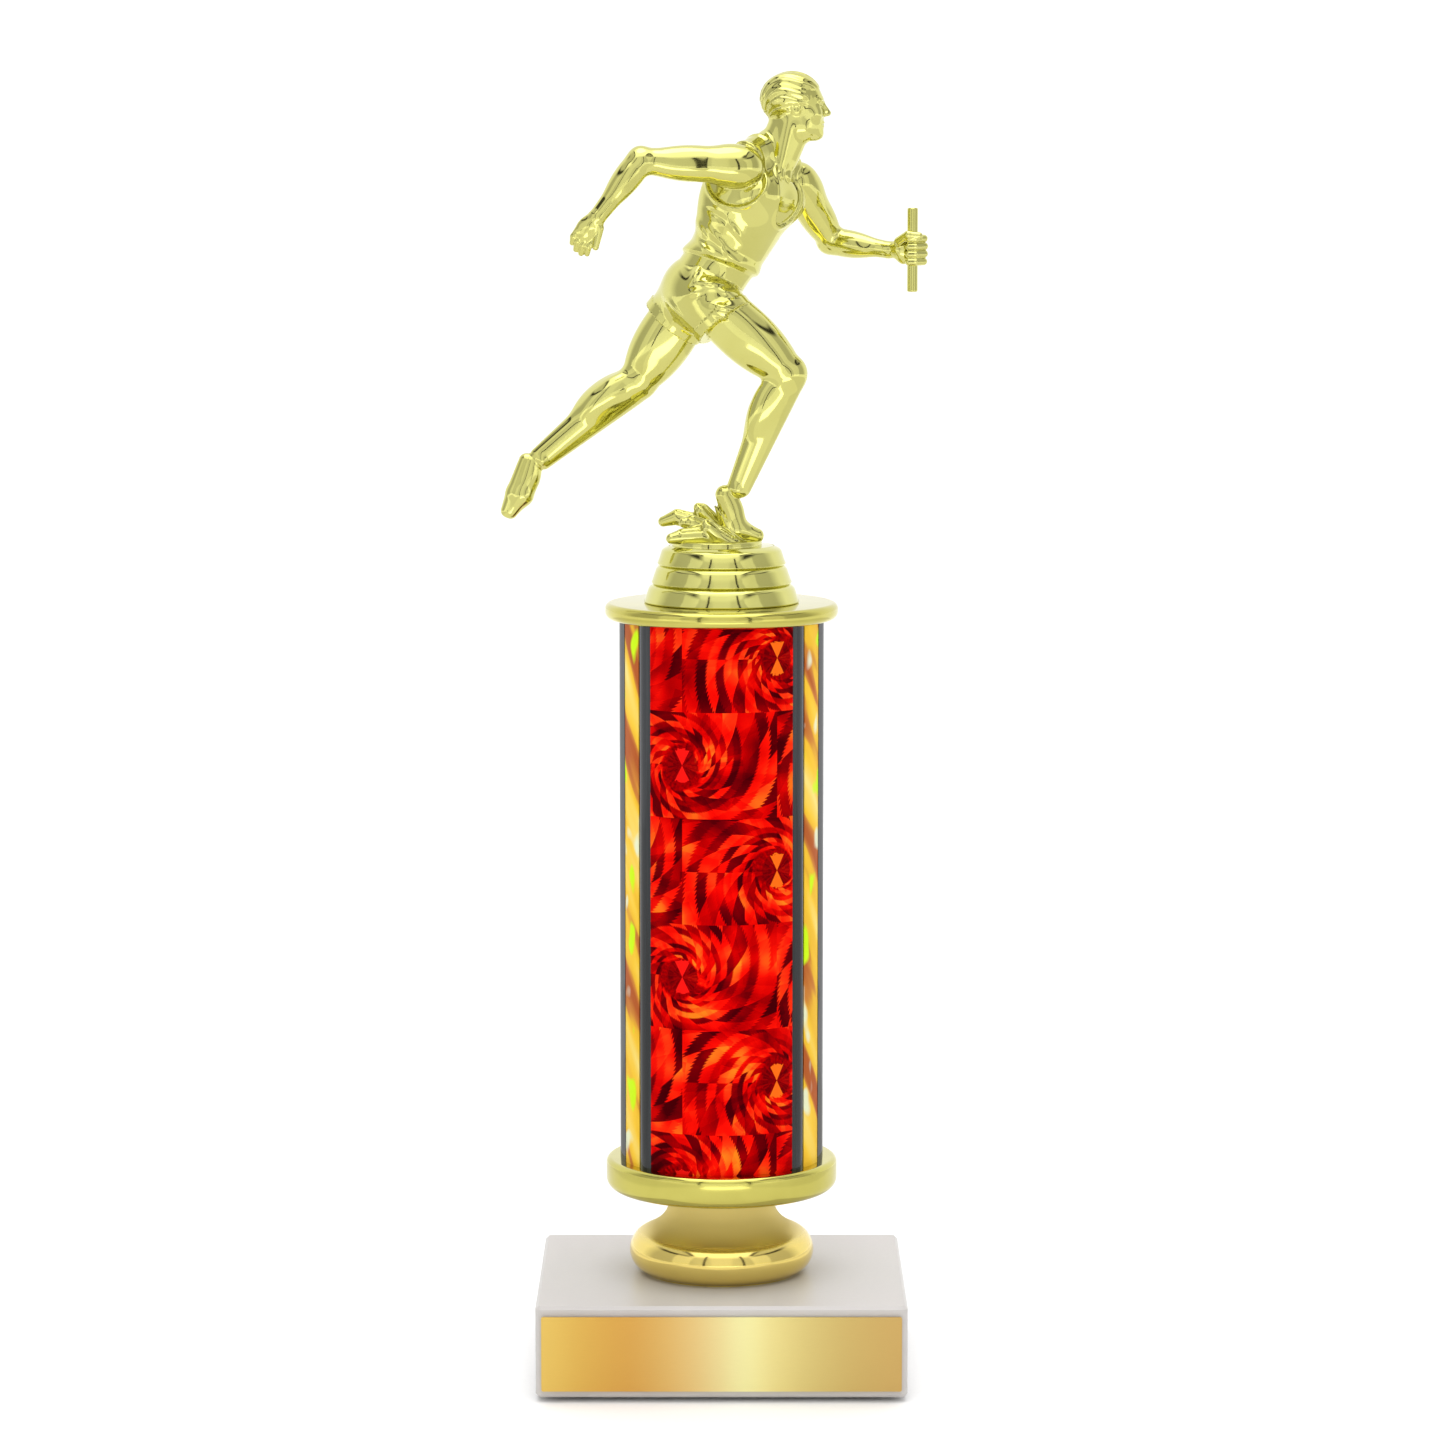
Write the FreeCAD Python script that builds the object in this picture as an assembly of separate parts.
"""Column trophy: a sprinter with a relay baton on a stepped pedestal, over a foil-striped column
on a stone base.

Millimetres, +Z up. The origin is the centre of the trophy's foot on the shelf, on the axis of the tie rod.
The engraving plate faces -Y and the runner runs towards +X.
Stack, from the shelf up: pads, stone base, riser, bottom lid, column, top lid, pedestal, runner.
"""

import FreeCAD, Part
import math
import os
from FreeCAD import Vector

os.makedirs("parts", exist_ok=True)

# ---- stone base ---------------------------------------------------------------------------------
BASE_WIDTH = 80.0            # X
BASE_DEPTH = 70.0            # Y
BASE_HEIGHT = 20.0
BASE_EDGE = 0.7              # polished bevel along the outer edges
BASE_CORNER = 1.5            # radius of the four upright corners
PAD_THICKNESS = 1.0
PAD_RADIUS = 6.0
PAD_INSET = 10.0             # pad centre in from each side
NUT_RECESS_DEPTH = 10.5
NUT_RECESS_RADIUS = 11.0

# ---- engraving plate ----------------------------------------------------------------------------
PLATE_SIDE_MARGIN = 1.3      # stone left showing round the plate
PLATE_TOP_MARGIN = 2.1
PLATE_FOOT_MARGIN = 1.6
PLATE_THICKNESS = 0.5
PLATE_CORNER = 0.4
TAPE_THICKNESS = 0.3
TAPE_MARGIN = 0.8            # the tape stops short of the plate's edges

# ---- tie rod and its hardware -------------------------------------------------------------------
ROD_RADIUS = 3.175           # quarter-inch rod
ROD_CHAMFER = 0.6
ROD_FOOT_RECESS = 1.2        # rod's lower end above the underside of the stone
ROD_HEAD_CLEARANCE = 0.4     # rod's upper end below the roof of the pedestal
ROD_PASS_CLEARANCE = 0.35    # plain holes that the rod passes through
THREAD_CLEARANCE = 0.05      # nut and insert threads, kept as plain bores
NUT_FLATS = 11.1
BOTTOM_NUT_HEIGHT = 5.5
TOP_NUT_HEIGHT = 4.0         # thin locking nut under the pedestal
NUT_CORNER_DROP = 0.7        # height turned off the nut's corners
NUT_FACE_MARGIN = 0.2        # washer face inside the flats
WASHER_RADIUS = 8.0
WASHER_THICKNESS = 1.3
LOCK_WASHER_RADIUS = 6.0
LOCK_WASHER_THICKNESS = 1.4
LOCK_WASHER_SPLIT = 0.8
LOCK_WASHER_SLANT = 30.0

# ---- riser --------------------------------------------------------------------------------------
RISER_HEIGHT = 18.8
RISER_NECK_RADIUS = 11.6     # where it meets the bottom lid
RISER_BELLY_RADIUS = 20.3
RISER_BELLY_ROUND = 5.6      # radius of the belly's round, whose lowest point is at the stone
RISER_SHOULDER_ANGLE = 58.0  # where the belly's round meets the flare, above level
RISER_TUCK_ANGLE = 75.0      # where the round ends at the foot, below level
RISER_NECK_PULL = 6.3        # how far down the neck stays upright
RISER_FLARE_PULL = 4.2       # how far in the flare keeps the shoulder's slope
RISER_WALL = 1.8

# ---- lids ---------------------------------------------------------------------------------------
LID_OVERHANG = 3.2           # lid's rim beyond the column
BOTTOM_LID_HEIGHT = 7.0
BOTTOM_LID_EDGE = 2.6        # round of the lower outer edge
TOP_LID_HEIGHT = 3.6
TOP_LID_EDGE = 1.5
LID_RIM_ROUND = 1.2          # round of the upper outer edge
LID_PLATE = 1.6              # flat plate of each lid
LID_LIP = 0.5                # flat left under the bottom lid's rim
BOSS_MARGIN = 0.6            # ring under the bottom lid, beyond the riser's neck
BOSS_WALL = 2.4
SPIGOT_HEIGHT = 5.0          # ring on each lid that centres the tube
SPIGOT_WALL = 1.4
SPIGOT_CLEARANCE = 0.15
SKIRT_CLEARANCE = 0.3        # top lid's skirt round the tube

# ---- column -------------------------------------------------------------------------------------
COLUMN_LENGTH = 121.0
COLUMN_RADIUS = 22.2         # over the foil
COLUMN_WALL = 1.7
FOIL_THICKNESS = 0.2
PANEL_ANGLE = 87.4           # each of two wide red panels, front and back
BEAD_ANGLE = 10.0            # black rounded bead beside each panel
STRIPE_ANGLE = 17.0          # gold stripe beyond each bead
BEAD_HEIGHT = 0.35           # a bead's crown above the foil
LAND_HEIGHT = 0.1            # the wide black band on each side, above the foil

# ---- pedestal -----------------------------------------------------------------------------------
PEDESTAL_HEIGHT = 12.4
PEDESTAL_WALL = 1.6
PEDESTAL_FOOT_RADIUS = 16.9
TIER_LEANS = (1.9, 1.6, 2.6) # how far each tier leans in, from the foot up
TIER_OVERHANG = 0.3          # each tier's lip over the one below
TIER_LIP = 0.6               # height of a tier's rounded lip
INSERT_RADIUS = 5.2          # brass insert that takes the rod's end
INSERT_FLANGE = 0.5
INSERT_GAP = 1.0             # between the top nut and the insert's flange
INSERT_BOSS_WALL = 1.6
PEG_RADIUS = 2.4             # peg under the runner, glued in the pedestal's roof
PEG_GAP = 0.1                # glue all round the peg

# ---- runner, drawn at its own height and scaled to this one -------------------------------------
RUNNER_HEIGHT = 101.9        # underside of the turf disc to the crown
DRAWN_HEIGHT = 101.9
DISC_RADIUS = 9.8
DISC_HEIGHT = 1.2
DISC_OFFSET = -1.0           # disc's centre in X
BATON_RADIUS = 1.15
BATON_LENGTH = 18.2
BATON_ROUND = 0.3
BATON_GRIP_CLEARANCE = 0.02

# ---- levels, worked out from the sizes above ----------------------------------------------------
UP = Vector(0, 0, 1)
CENTRE = Vector(0, 0, 0)
Z_STONE = PAD_THICKNESS
Z_NUT_SEAT = Z_STONE + NUT_RECESS_DEPTH
Z_RISER = Z_STONE + BASE_HEIGHT
Z_BOTTOM_LID = Z_RISER + RISER_HEIGHT
Z_COLUMN = Z_BOTTOM_LID + BOTTOM_LID_HEIGHT
Z_TOP_PLATE = Z_COLUMN + COLUMN_LENGTH
Z_PEDESTAL = Z_TOP_PLATE + LID_PLATE
Z_RUNNER = Z_PEDESTAL + PEDESTAL_HEIGHT
Z_ROOF = Z_RUNNER - PEDESTAL_WALL
Z_INSERT = Z_PEDESTAL + WASHER_THICKNESS + TOP_NUT_HEIGHT + INSERT_GAP + INSERT_FLANGE
INSERT_HEIGHT = Z_ROOF - Z_INSERT
CUT = 1.0                    # how far a cutting tool overshoots


def save(name, shape):
    """Writes one sub-part."""
    shape.exportStep(f"parts/{name}.step")


def cylinder(radius, height, z, x=0.0, y=0.0):
    return Part.makeCylinder(radius, height, Vector(x, y, z), UP)


def ring(outer, inner, height, z):
    bore = cylinder(inner, height + 2 * CUT, z - CUT)
    return cylinder(outer, height, z).cut(bore)


def rod_hole(height, z):
    """Plain hole for the tie rod, through a piece of this height."""
    return cylinder(ROD_RADIUS + ROD_PASS_CLEARANCE, height + 2 * CUT, z - CUT)


def turned(outline):
    """Solid of revolution about Z from (radius, height) points joined by straight lines."""
    corners = [Vector(r, 0, z) for r, z in outline]
    face = Part.Face(Part.makePolygon(corners + corners[:1]))
    return face.revolve(CENTRE, UP, 360)


def blend_rim(shape, radius, height, blend):
    """Rounds the circular edge of one radius at one level."""
    rims = [
        edge
        for edge in shape.Edges
        if isinstance(edge.Curve, Part.Circle)
        and math.isclose(edge.Curve.Radius, radius, abs_tol=1e-4)
        and math.isclose(edge.Curve.Center.z, height, abs_tol=1e-4)
    ]
    return shape.makeFillet(blend, rims)


# ---- base and what is stuck to it ---------------------------------------------------------------
def stone_base():
    """Polished block with the rod's hole and a nut recess from below."""
    corner = Vector(-BASE_WIDTH / 2, -BASE_DEPTH / 2, Z_STONE)
    block = Part.makeBox(BASE_WIDTH, BASE_DEPTH, BASE_HEIGHT, corner)
    upright = [edge for edge in block.Edges if abs(edge.tangentAt(edge.FirstParameter).z) > 0.9]
    block = block.makeFillet(BASE_CORNER, upright)
    rims = [edge for edge in block.Edges if abs(edge.tangentAt(edge.FirstParameter).z) < 0.1]
    block = block.makeChamfer(BASE_EDGE, rims)
    recess = cylinder(NUT_RECESS_RADIUS, NUT_RECESS_DEPTH + CUT, Z_STONE - CUT)
    return block.cut(rod_hole(BASE_HEIGHT, Z_STONE)).cut(recess)


def base_pads():
    """Four round pads under the corners."""
    x = BASE_WIDTH / 2 - PAD_INSET
    y = BASE_DEPTH / 2 - PAD_INSET
    places = [(-x, -y), (x, -y), (x, y), (-x, y)]
    return Part.makeCompound([cylinder(PAD_RADIUS, PAD_THICKNESS, 0, px, py) for px, py in places])


PLATE_WIDTH = BASE_WIDTH - 2 * PLATE_SIDE_MARGIN
PLATE_HEIGHT = BASE_HEIGHT - PLATE_TOP_MARGIN - PLATE_FOOT_MARGIN
PLATE_FOOT = Z_STONE + PLATE_FOOT_MARGIN
TAPE_FRONT = -BASE_DEPTH / 2 - TAPE_THICKNESS


def nameplate():
    """Thin metal plate along the front of the stone."""
    corner = Vector(-PLATE_WIDTH / 2, TAPE_FRONT - PLATE_THICKNESS, PLATE_FOOT)
    plate = Part.makeBox(PLATE_WIDTH, PLATE_THICKNESS, PLATE_HEIGHT, corner)
    short = [edge for edge in plate.Edges if abs(edge.tangentAt(edge.FirstParameter).y) > 0.9]
    return plate.makeFillet(PLATE_CORNER, short)


def nameplate_tape():
    corner = Vector(-PLATE_WIDTH / 2 + TAPE_MARGIN, TAPE_FRONT, PLATE_FOOT + TAPE_MARGIN)
    return Part.makeBox(PLATE_WIDTH - 2 * TAPE_MARGIN, TAPE_THICKNESS, PLATE_HEIGHT - 2 * TAPE_MARGIN, corner)


# ---- rod, nuts and washers ----------------------------------------------------------------------
def tie_rod():
    """One long rod from the recess in the stone to the insert in the pedestal."""
    foot = Z_STONE + ROD_FOOT_RECESS
    rod = cylinder(ROD_RADIUS, Z_ROOF - ROD_HEAD_CLEARANCE - foot, foot)
    ends = [edge for edge in rod.Edges if isinstance(edge.Curve, Part.Circle)]
    return rod.makeChamfer(ROD_CHAMFER, ends)


def flat_washer(z):
    return ring(WASHER_RADIUS, ROD_RADIUS + ROD_PASS_CLEARANCE, WASHER_THICKNESS, z)


def lock_washer(z):
    """Spring washer: a thick ring with one slanted split."""
    band = ring(LOCK_WASHER_RADIUS, ROD_RADIUS + ROD_PASS_CLEARANCE, LOCK_WASHER_THICKNESS, z)
    middle = Vector(0, 0, z + LOCK_WASHER_THICKNESS / 2)
    reach = 2 * LOCK_WASHER_THICKNESS
    split = Part.makeBox(LOCK_WASHER_RADIUS, LOCK_WASHER_SPLIT, 2 * reach, middle - UP * reach)
    split.rotate(middle, Vector(1, 0, 0), LOCK_WASHER_SLANT)
    return band.cut(split)


def hex_nut(z, height):
    """Hexagon nut with the corners of both faces turned off."""
    flat = NUT_FLATS / 2
    corner = flat / math.cos(math.pi / 6)
    angles = [k * math.pi / 3 for k in range(6)]
    points = [Vector(corner * math.cos(a), corner * math.sin(a), z) for a in angles]
    hexagon = Part.Face(Part.makePolygon(points + points[:1])).extrude(UP * height)
    face = flat - NUT_FACE_MARGIN
    rim = corner + NUT_FACE_MARGIN
    turning = turned(
        [
            (0, z),
            (face, z),
            (rim, z + NUT_CORNER_DROP),
            (rim, z + height - NUT_CORNER_DROP),
            (face, z + height),
            (0, z + height),
        ]
    )
    bore = cylinder(ROD_RADIUS + THREAD_CLEARANCE, height + 2 * CUT, z - CUT)
    return hexagon.common(turning).cut(bore)


# ---- riser --------------------------------------------------------------------------------------
def riser():
    """Hollow turned foot: an upright neck sweeps out into a round belly that tucks under to the stone."""
    foot = Vector(0, 0, Z_RISER)
    top = foot + UP * RISER_HEIGHT
    belly = Vector(RISER_BELLY_RADIUS - RISER_BELLY_ROUND, 0, Z_RISER + RISER_BELLY_ROUND)
    up = math.radians(RISER_SHOULDER_ANGLE)
    under = math.radians(-RISER_TUCK_ANGLE)
    shoulder = belly + Vector(math.cos(up), 0, math.sin(up)) * RISER_BELLY_ROUND
    crown = belly + Vector(RISER_BELLY_ROUND, 0, 0)
    tuck = belly + Vector(math.cos(under), 0, math.sin(under)) * RISER_BELLY_ROUND
    neck = top + Vector(RISER_NECK_RADIUS, 0, 0)
    flare = Part.BezierCurve()
    inward = Vector(-math.sin(up), 0, math.cos(up)) * RISER_FLARE_PULL
    flare.setPoles([neck, neck - UP * RISER_NECK_PULL, shoulder + inward, shoulder])
    toe = Vector(tuck.x, 0, Z_RISER)
    outline = [
        Part.makeLine(top, neck),
        flare.toShape(),
        Part.Arc(shoulder, crown, tuck).toShape(),
        Part.makeLine(tuck, toe),
        Part.makeLine(toe, foot),
        Part.makeLine(foot, top),
    ]
    bulk = Part.Face(Part.Wire(outline)).revolve(CENTRE, UP, 360)
    inner_neck = RISER_NECK_RADIUS - RISER_WALL
    inner_foot = toe.x - RISER_WALL
    roof = top.z - RISER_WALL
    throat = top.z - RISER_NECK_PULL
    cavity = turned(
        [
            (0, Z_RISER - CUT),
            (inner_foot, Z_RISER - CUT),
            (inner_foot, Z_RISER + RISER_WALL),
            (inner_neck, throat),
            (inner_neck, roof),
            (0, roof),
        ]
    )
    return bulk.cut(cavity).cut(rod_hole(RISER_HEIGHT, Z_RISER))


# ---- lids ---------------------------------------------------------------------------------------
LID_RADIUS = COLUMN_RADIUS + LID_OVERHANG
TUBE_RADIUS = COLUMN_RADIUS - FOIL_THICKNESS
TUBE_BORE = TUBE_RADIUS - COLUMN_WALL
BEAD_CROWN = COLUMN_RADIUS + BEAD_HEIGHT
SPIGOT_RADIUS = TUBE_BORE - SPIGOT_CLEARANCE


def spigot(z):
    """Short ring on a lid that centres the tube's end."""
    return ring(SPIGOT_RADIUS, SPIGOT_RADIUS - SPIGOT_WALL, SPIGOT_HEIGHT, z)


def bottom_lid():
    """Cap that is open below. A ring under it stands on the riser, and its spigot goes up the tube."""
    depth = BOTTOM_LID_HEIGHT - LID_PLATE
    boss = RISER_NECK_RADIUS + BOSS_MARGIN
    lid = cylinder(LID_RADIUS, BOTTOM_LID_HEIGHT, Z_BOTTOM_LID)
    lid = blend_rim(lid, LID_RADIUS, Z_BOTTOM_LID, BOTTOM_LID_EDGE)
    lid = blend_rim(lid, LID_RADIUS, Z_COLUMN, LID_RIM_ROUND)
    skirt_bore = LID_RADIUS - BOTTOM_LID_EDGE - LID_LIP
    lid = lid.cut(ring(skirt_bore, boss, depth + CUT, Z_BOTTOM_LID - CUT))
    lid = lid.cut(cylinder(boss - BOSS_WALL, depth + CUT, Z_BOTTOM_LID - CUT))
    return lid.fuse(spigot(Z_COLUMN)).cut(rod_hole(BOTTOM_LID_HEIGHT, Z_BOTTOM_LID)).removeSplitter()


def top_lid():
    """Cap with a skirt round the tube's end and a spigot inside it."""
    skirt = TOP_LID_HEIGHT - LID_PLATE
    foot = Z_TOP_PLATE - skirt
    lid = cylinder(LID_RADIUS, TOP_LID_HEIGHT, foot)
    lid = blend_rim(lid, LID_RADIUS, foot, TOP_LID_EDGE)
    lid = blend_rim(lid, LID_RADIUS, Z_PEDESTAL, LID_RIM_ROUND)
    lid = lid.cut(cylinder(BEAD_CROWN + SKIRT_CLEARANCE, skirt + CUT, foot - CUT))
    return lid.fuse(spigot(Z_TOP_PLATE - SPIGOT_HEIGHT)).cut(rod_hole(TOP_LID_HEIGHT, foot)).removeSplitter()


# ---- column: a black tube with moulded beads and side bands, and foil in the lands between --------
FRONT, RIGHT, REAR, LEFT = -90.0, 0.0, 90.0, 180.0      # headings about Z
BEAD_OFFSET = (PANEL_ANGLE + BEAD_ANGLE) / 2
STRIPE_OFFSET = PANEL_ANGLE / 2 + BEAD_ANGLE + STRIPE_ANGLE / 2
BAND_ANGLE = 180.0 - PANEL_ANGLE - 2 * (BEAD_ANGLE + STRIPE_ANGLE)


def sector(radius, heading, angle):
    """Wedge of the column's height, centred on a heading."""
    wedge = Part.makeCylinder(radius, COLUMN_LENGTH, Vector(0, 0, Z_COLUMN), UP, angle)
    wedge.rotate(CENTRE, UP, heading - angle / 2)
    return wedge


def bead(heading):
    """Long round rod set into the tube's skin, so that only its crown stands out."""
    half_chord = TUBE_RADIUS * math.sin(math.radians(BEAD_ANGLE / 2))
    rise = BEAD_CROWN - TUBE_RADIUS * math.cos(math.radians(BEAD_ANGLE / 2))
    radius = (half_chord**2 + rise**2) / (2 * rise)
    turn = math.radians(heading)
    middle = BEAD_CROWN - radius
    return cylinder(radius, COLUMN_LENGTH, Z_COLUMN, middle * math.cos(turn), middle * math.sin(turn))


def column_tube():
    """Extruded tube with four beads and two side bands."""
    beads = [bead(panel + side * BEAD_OFFSET) for panel in (FRONT, REAR) for side in (-1, 1)]
    bands = [sector(COLUMN_RADIUS + LAND_HEIGHT, heading, BAND_ANGLE) for heading in (LEFT, RIGHT)]
    skin = cylinder(TUBE_RADIUS, COLUMN_LENGTH, Z_COLUMN).multiFuse(beads + bands)
    return skin.cut(cylinder(TUBE_BORE, COLUMN_LENGTH + 2 * CUT, Z_COLUMN - CUT)).removeSplitter()


def foil(heading, angle, tube):
    """Strip of foil on the tube, trimmed to the tube's beads and bands."""
    strip = sector(COLUMN_RADIUS, heading, angle)
    return strip.cut(cylinder(TUBE_RADIUS, COLUMN_LENGTH, Z_COLUMN)).cut(tube)


def stripe_pair(side, tube):
    """The two gold stripes on one side of the column."""
    headings = (FRONT + side * STRIPE_OFFSET, REAR - side * STRIPE_OFFSET)
    return Part.makeCompound([foil(heading, STRIPE_ANGLE, tube) for heading in headings])


# ---- pedestal -----------------------------------------------------------------------------------
def tier_outline():
    """Stepped side from the foot up. Each tier has a small upright lip and then leans in."""
    tier_height = PEDESTAL_HEIGHT / len(TIER_LEANS)
    radius = PEDESTAL_FOOT_RADIUS
    points = []
    for step, lean in enumerate(TIER_LEANS):
        low = Z_PEDESTAL + step * tier_height
        points += [(radius - TIER_LIP / 2, low), (radius, low + TIER_LIP / 2), (radius, low + TIER_LIP)]
        points.append((radius - lean, low + tier_height))
        radius += TIER_OVERHANG - lean
    return points


TIER_OUTLINE = tier_outline()
PEDESTAL_TOP_RADIUS = TIER_OUTLINE[-1][0]


def pedestal():
    """Hollow stepped plinth. A boss under its roof holds the insert, and its roof takes the runner's peg."""
    body = turned([(0, Z_PEDESTAL)] + TIER_OUTLINE + [(0, Z_RUNNER)])
    inner_foot = PEDESTAL_FOOT_RADIUS - TIER_LIP - PEDESTAL_WALL
    inner_head = PEDESTAL_TOP_RADIUS - PEDESTAL_WALL
    cavity = turned(
        [
            (0, Z_PEDESTAL - CUT),
            (inner_foot, Z_PEDESTAL - CUT),
            (inner_foot, Z_PEDESTAL),
            (inner_head, Z_ROOF),
            (0, Z_ROOF),
        ]
    )
    boss = cylinder(INSERT_RADIUS + INSERT_BOSS_WALL, INSERT_HEIGHT, Z_INSERT)
    seat = cylinder(INSERT_RADIUS, INSERT_HEIGHT, Z_INSERT)
    socket = cylinder(PEG_RADIUS + PEG_GAP, PEDESTAL_WALL + 2 * CUT, Z_ROOF - CUT)
    return body.cut(cavity).fuse(boss.cut(seat)).cut(socket).removeSplitter()


def pedestal_insert():
    """Flanged brass insert, pressed up into the boss. The rod's end screws into it."""
    body = cylinder(INSERT_RADIUS, INSERT_HEIGHT, Z_INSERT)
    flange = cylinder(INSERT_RADIUS + INSERT_BOSS_WALL / 2, INSERT_FLANGE, Z_INSERT - INSERT_FLANGE)
    bore = cylinder(ROD_RADIUS + THREAD_CLEARANCE, INSERT_HEIGHT + 2 * CUT, Z_INSERT - CUT)
    return body.fuse(flange).cut(bore).removeSplitter()


# ---- runner -------------------------------------------------------------------------------------
# Joints and swellings of the body, in X, Y, Z and radius, from the middle of the pedestal's top.
RIGHT_ARM = [(3.4, -9.6, 80.4, 4.5), (-7.0, -12.5, 81.2, 3.7), (-15.9, -14.5, 81.9, 3.1),
             (-20.6, -15.8, 77.4, 2.9), (-26.0, -17.0, 71.4, 2.0), (-29.0, -17.2, 66.8, 2.5),
             (-30.6, -17.0, 63.0, 1.6)]
LEFT_ARM = [(17.6, 8.8, 78.6, 4.2), (21.0, 13.5, 71.0, 3.5), (24.0, 17.5, 65.6, 3.0), (29.2, 15.0, 64.4, 2.7),
            (36.0, 11.0, 63.6, 2.0), (41.5, 8.0, 63.7, 3.4)]
RIGHT_LEG = [(-2.4, -5.0, 53.0, 6.9), (7.5, -6.0, 42.6, 5.5), (14.1, -5.8, 37.2, 4.6),
             (11.0, -4.8, 30.0, 4.8), (7.2, -3.4, 19.6, 3.6), (4.4, -2.4, 12.2, 2.6),
             (0.9, -2.0, 11.0, 2.4)]
RIGHT_FOOT = [(0.6, -2.0, 10.4, 2.3), (3.4, -1.6, 3.6, 2.6), (7.2, -1.2, 1.9, 1.7)]
LEFT_LEG = [(-6.0, 4.8, 53.4, 6.9), (-13.9, 5.6, 41.6, 5.5), (-18.7, 6.0, 35.4, 4.1), (-25.8, 5.8, 30.4, 4.5),
            (-33.4, 5.2, 23.4, 3.2), (-39.4, 5.0, 18.2, 2.5), (-42.0, 5.0, 18.6, 2.3)]
LEFT_FOOT = [(-41.8, 5.0, 17.4, 2.4), (-43.8, 5.0, 11.0, 2.3), (-46.4, 5.0, 6.9, 1.5)]
RIGHT_SHORTS = [(-3.2, -4.0, 54.6, 8.0), (0.6, -5.6, 48.8, 6.9)]
LEFT_SHORTS = [(-5.6, 3.6, 54.6, 8.0), (-10.2, 5.2, 48.2, 6.7)]
NECK = [(11.0, 0.3, 82.0, 4.3), (14.0, 0.2, 90.5, 4.1)]
HEAD = [(15.6, 0.0, 95.3, 6.6), (17.6, 0.0, 91.4, 4.6)]
TURF = [
    [(0.6, 1.0, 1.4, 1.7), (-4.6, 1.8, 5.2, 1.4), (-9.4, 2.4, 6.3, 1.0), (-12.9, 2.6, 5.1, 0.6)],
    [(0.4, -2.6, 1.2, 1.6), (-5.0, -4.0, 2.9, 1.3), (-8.8, -4.8, 2.7, 0.9), (-11.2, -5.2, 2.1, 0.6)],
    [(1.0, 3.2, 1.4, 1.5), (-2.4, 3.0, 5.4, 1.1), (-4.9, 2.8, 8.2, 0.6)],
]
RIGHT_TRUNK = [(-3.4, -3.2, 55.0, 7.4), (0.4, -1.6, 63.4, 6.2), (2.6, -4.2, 71.4, 6.8),
               (5.6, -6.4, 77.6, 5.2)]
LEFT_TRUNK = [(-5.4, 3.0, 55.4, 7.5), (0.6, 1.4, 63.0, 6.3), (6.2, 3.4, 71.0, 7.0), (13.2, 5.4, 76.6, 5.4)]
COLLAR = [(4.6, -7.6, 79.6, 4.2), (10.2, 0.2, 81.2, 4.6), (15.6, 7.0, 78.4, 4.1)]
BODY = [
    LEFT_TRUNK, RIGHT_TRUNK, COLLAR, NECK, HEAD, RIGHT_SHORTS, LEFT_SHORTS, RIGHT_ARM, LEFT_ARM,
    RIGHT_LEG, LEFT_LEG,
]
BODY += [RIGHT_FOOT, LEFT_FOOT]
OVERLAP = 0.97               # limb cones end this far inside their joints' balls
SCALE = RUNNER_HEIGHT / DRAWN_HEIGHT
GRIP = LEFT_ARM[-1]


def limb(points):
    """Row of balls joined by tapered bones."""
    shape = None
    for x, y, z, radius in points:
        ball = Part.makeSphere(radius, Vector(x, y, z))
        shape = shape.fuse(ball) if shape else ball
    for (ax, ay, az, ar), (bx, by, bz, br) in zip(points, points[1:]):
        start, along = Vector(ax, ay, az), Vector(bx - ax, by - ay, bz - az)
        if math.isclose(ar, br):
            bone = Part.makeCylinder(ar * OVERLAP, along.Length, start, along)
        else:
            bone = Part.makeCone(ar * OVERLAP, br * OVERLAP, along.Length, start, along)
        shape = shape.fuse(bone)
    return shape


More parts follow.
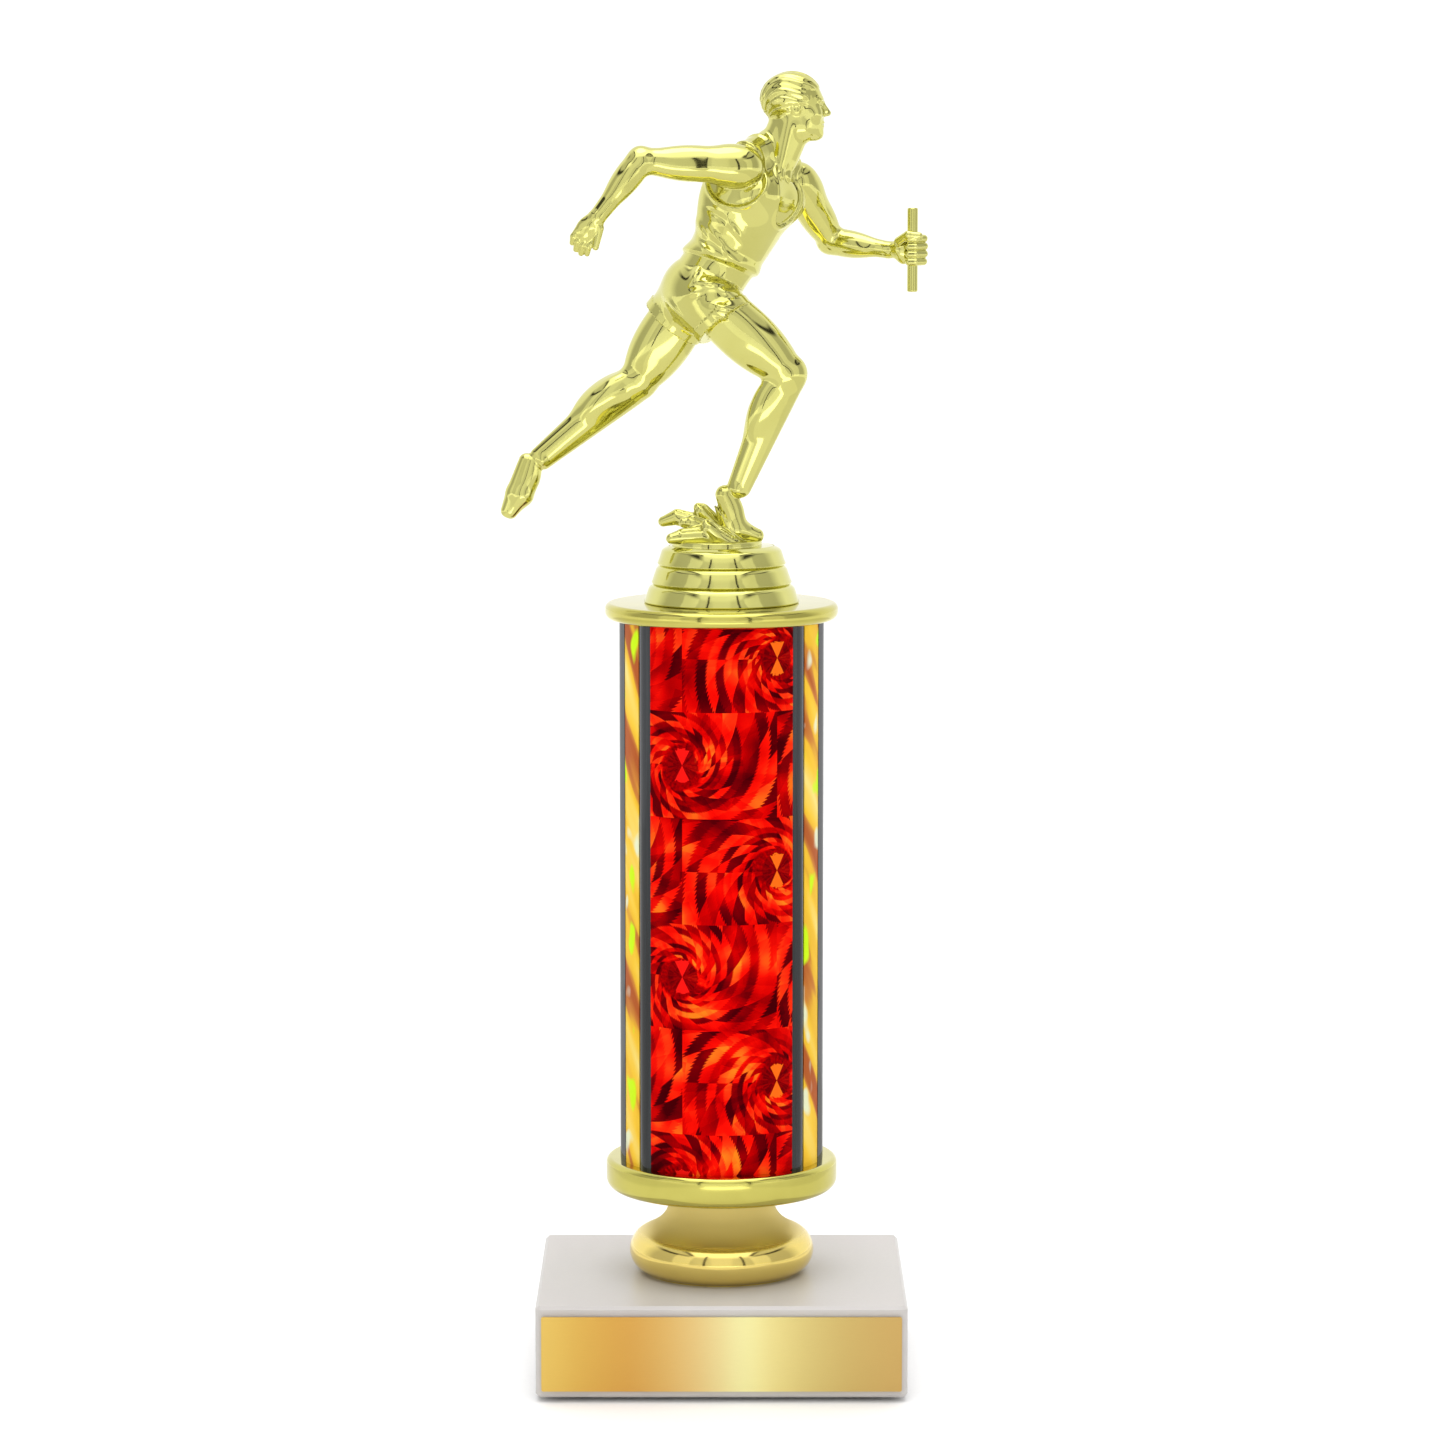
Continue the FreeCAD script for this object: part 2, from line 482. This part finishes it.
def runner():
    """The cast figure with its turf, its disc and the peg that is glued into the pedestal."""
    figure = limb(BODY[0])
    for chain in BODY[1:] + TURF:
        figure = figure.fuse(limb(chain))
    figure.scale(SCALE)
    level = cylinder(RUNNER_HEIGHT, RUNNER_HEIGHT, -RUNNER_HEIGHT)
    disc = cylinder(DISC_RADIUS * SCALE, DISC_HEIGHT, 0, DISC_OFFSET * SCALE)
    peg = cylinder(PEG_RADIUS, PEDESTAL_WALL + CUT, -PEDESTAL_WALL)
    figure = figure.cut(level).fuse(disc).fuse(peg)
    figure.translate(UP * Z_RUNNER)
    grip = baton_body(BATON_RADIUS + BATON_GRIP_CLEARANCE)
    return figure.cut(grip).removeSplitter()


def baton_body(radius):
    x, y, z = (part * SCALE for part in GRIP[:3])
    return cylinder(radius, BATON_LENGTH, Z_RUNNER + z - BATON_LENGTH / 2, x, y)


def baton():
    """Relay baton, pushed through the left fist."""
    rod = baton_body(BATON_RADIUS)
    return rod.makeFillet(BATON_ROUND, [edge for edge in rod.Edges if isinstance(edge.Curve, Part.Circle)])


# ---- the pieces, from the shelf up --------------------------------------------------------------
save("base_pads", base_pads())
save("stone_base", stone_base())
save("nameplate", nameplate())
save("nameplate_tape", nameplate_tape())
save("tie_rod", tie_rod())
save("bottom_washer", flat_washer(Z_NUT_SEAT - WASHER_THICKNESS))
save("bottom_lock_washer", lock_washer(Z_NUT_SEAT - WASHER_THICKNESS - LOCK_WASHER_THICKNESS))
save(
    "bottom_nut",
    hex_nut(Z_NUT_SEAT - WASHER_THICKNESS - LOCK_WASHER_THICKNESS - BOTTOM_NUT_HEIGHT, BOTTOM_NUT_HEIGHT),
)
save("riser", riser())
save("bottom_lid", bottom_lid())
tube = column_tube()
save("column_tube", tube)
save("front_red_foil", foil(FRONT, PANEL_ANGLE, tube))
save("rear_red_foil", foil(REAR, PANEL_ANGLE, tube))
save("left_gold_foil", stripe_pair(-1, tube))
save("right_gold_foil", stripe_pair(1, tube))
save("top_lid", top_lid())
save("top_washer", flat_washer(Z_PEDESTAL))
save("top_nut", hex_nut(Z_PEDESTAL + WASHER_THICKNESS, TOP_NUT_HEIGHT))
save("pedestal", pedestal())
save("pedestal_insert", pedestal_insert())
save("runner", runner())
save("baton", baton())
